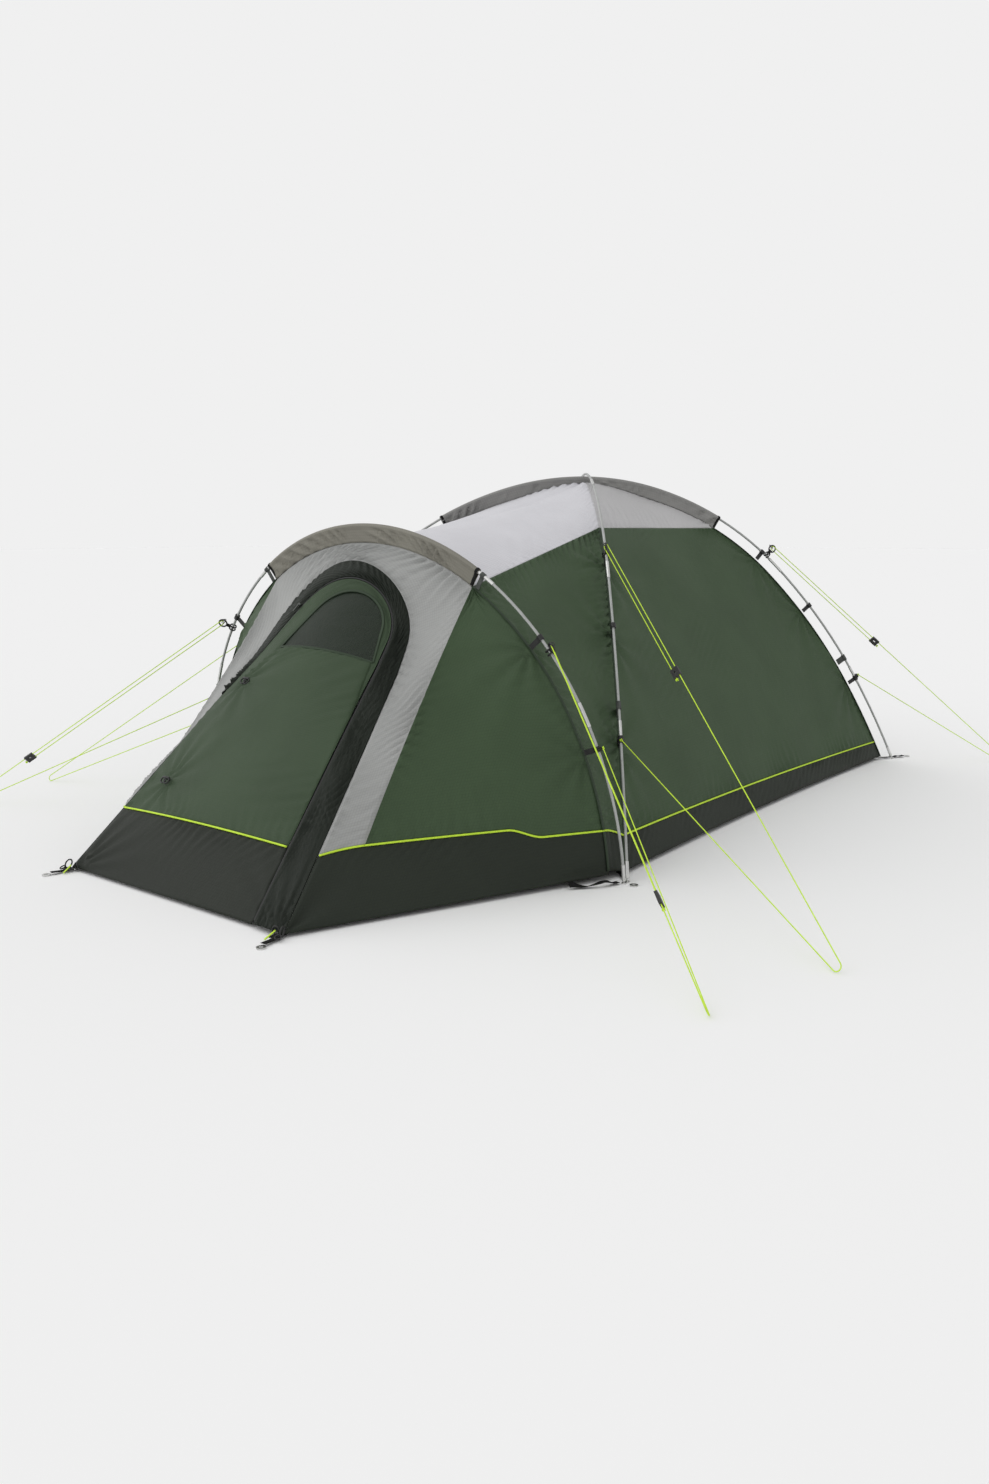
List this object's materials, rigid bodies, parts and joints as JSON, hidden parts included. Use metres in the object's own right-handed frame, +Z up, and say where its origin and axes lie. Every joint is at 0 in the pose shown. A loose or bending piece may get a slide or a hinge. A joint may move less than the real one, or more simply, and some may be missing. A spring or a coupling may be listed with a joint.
{
  "type": "dome tent with porch",
  "caption": "Crossed-pole dome tent with a raked, arched-door porch, inner tent, groundsheet and guy lines, standing on flat ground.",
  "frame": {"origin": "on the ground at the middle of the tent's length and width, guy lines left out", "axes": "+Z up, -Y towards the porch door, +X to the right of a person who looks at the tent from the porch side with +Y ahead of them"},
  "size_m": [3.2292, 3.4072, 1.1922],
  "materials": {
    "pole": "grey glass fibre",
    "ferrule": "plated sleeve",
    "shock_cord": "elastic cord",
    "dome_sleeve": "polyester",
    "porch_sleeve": "polyester",
    "black_plastic": "moulded",
    "strap_grey": "hook and loop strap",
    "steel": "plated",
    "webbing": "woven webbing",
    "roof_cloth": "coated polyester",
    "green_cloth": "coated polyester",
    "band_cloth": "coated polyester",
    "dark_cloth": "coated polyester",
    "piping": "neon cord",
    "window": "tinted film",
    "zip": "coil zip",
    "slider_metal": "painted",
    "inner_cloth": "breathable polyester",
    "inner_door_cloth": "mesh and polyester",
    "groundsheet": "coated polyethylene",
    "guy_line": "braided polyester"
  },
  "bodies": {
    "tent": {"dome_pole_upper": "pole", "dome_pole_lower": "pole", "porch_pole": "pole", "pole_ferrules": "ferrule", "shock_cords": "shock_cord", "pole_tips": "ferrule", "dome_sleeve": "dome_sleeve", "porch_sleeve": "porch_sleeve", "pole_clips": "black_plastic", "pole_straps": "strap_grey", "ring_pins": "steel", "corner_webbing": "webbing", "strap_buckles": "black_plastic", "peg_eyelets": "steel", "roof_front": "roof_cloth", "roof_right": "roof_cloth", "roof_left": "roof_cloth", "roof_rear": "roof_cloth", "side_right": "green_cloth", "side_left": "green_cloth", "rear_panel": "green_cloth", "link_right": "green_cloth", "link_left": "green_cloth", "porch_side_right": "green_cloth", "porch_side_left": "green_cloth", "porch_band": "band_cloth", "skirt_right": "dark_cloth", "skirt_left": "dark_cloth", "skirt_rear": "dark_cloth", "skirt_porch_right": "dark_cloth", "skirt_porch_left": "dark_cloth", "fly_piping": "piping", "zip_cover": "dark_cloth", "door_zip": "zip", "inner_right": "inner_cloth", "inner_left": "inner_cloth", "inner_rear": "inner_cloth", "inner_front": "inner_cloth", "inner_roof": "inner_cloth", "inner_zip": "zip", "groundsheet": "groundsheet", "guy_line_1": "guy_line", "guy_line_2": "guy_line", "guy_line_3": "guy_line", "guy_line_4": "guy_line", "guy_line_5": "guy_line", "guy_line_6": "guy_line"},
    "porch_door": {"door_panel": "green_cloth", "door_window": "window", "door_skirt": "dark_cloth", "door_toggles": "webbing"},
    "door_zip_runner": {"door_zip_slider": "slider_metal"},
    "inner_door": {"inner_door": "inner_door_cloth"},
    "inner_zip_runner": {"inner_zip_slider": "slider_metal"},
    "line_slider_1": {"guy_slider_1": "black_plastic"},
    "line_slider_2": {"guy_slider_2": "black_plastic"},
    "line_slider_3": {"guy_slider_3": "black_plastic"},
    "line_slider_4": {"guy_slider_4": "black_plastic"},
    "line_slider_5": {"guy_slider_5": "black_plastic"},
    "line_slider_6": {"guy_slider_6": "black_plastic"}
  },
  "joints": [
    {"name": "porch_door_hinge", "type": "hinge", "parent": "tent", "child": "porch_door", "pos_m": [-0.461, -1.54808, 0.01256], "axis": [-0.1953, -0.6987, -0.6883], "range_deg": [0, 105]},
    {"name": "door_zip_travel", "type": "hinge", "parent": "tent", "child": "door_zip_runner", "pos_m": [0.03982, -0.95151, 0.65214], "axis": [-0.0471, 0.8936, -0.4463], "range_deg": [0, 144]},
    {"name": "inner_door_hinge", "type": "hinge", "parent": "tent", "child": "inner_door", "pos_m": [0, -0.52942, 0.09436], "axis": [1, 0, 0], "range_deg": [0, 122]},
    {"name": "inner_zip_travel", "type": "hinge", "parent": "tent", "child": "inner_zip_runner", "pos_m": [0, -0.31325, 0.41897], "axis": [0, -0.8312, 0.556], "range_deg": [0, 160]},
    {"name": "line_slider_1_travel", "type": "slide", "parent": "tent", "child": "line_slider_1", "axis": [-0.685, 0.4708, 0.5561], "range_m": [0, 0.3]},
    {"name": "line_slider_2_travel", "type": "slide", "parent": "tent", "child": "line_slider_2", "axis": [-0.5618, -0.5119, 0.6499], "range_m": [0, 0.3]},
    {"name": "line_slider_3_travel", "type": "slide", "parent": "tent", "child": "line_slider_3", "axis": [-0.675, 0.4821, 0.5586], "range_m": [0, 0.3]},
    {"name": "line_slider_4_travel", "type": "slide", "parent": "tent", "child": "line_slider_4", "axis": [0.685, 0.4708, 0.5561], "range_m": [0, 0.3]},
    {"name": "line_slider_5_travel", "type": "slide", "parent": "tent", "child": "line_slider_5", "axis": [0.5618, -0.5119, 0.6499], "range_m": [0, 0.3]},
    {"name": "line_slider_6_travel", "type": "slide", "parent": "tent", "child": "line_slider_6", "axis": [0.675, 0.4821, 0.5586], "range_m": [0, 0.3]}
  ]
}
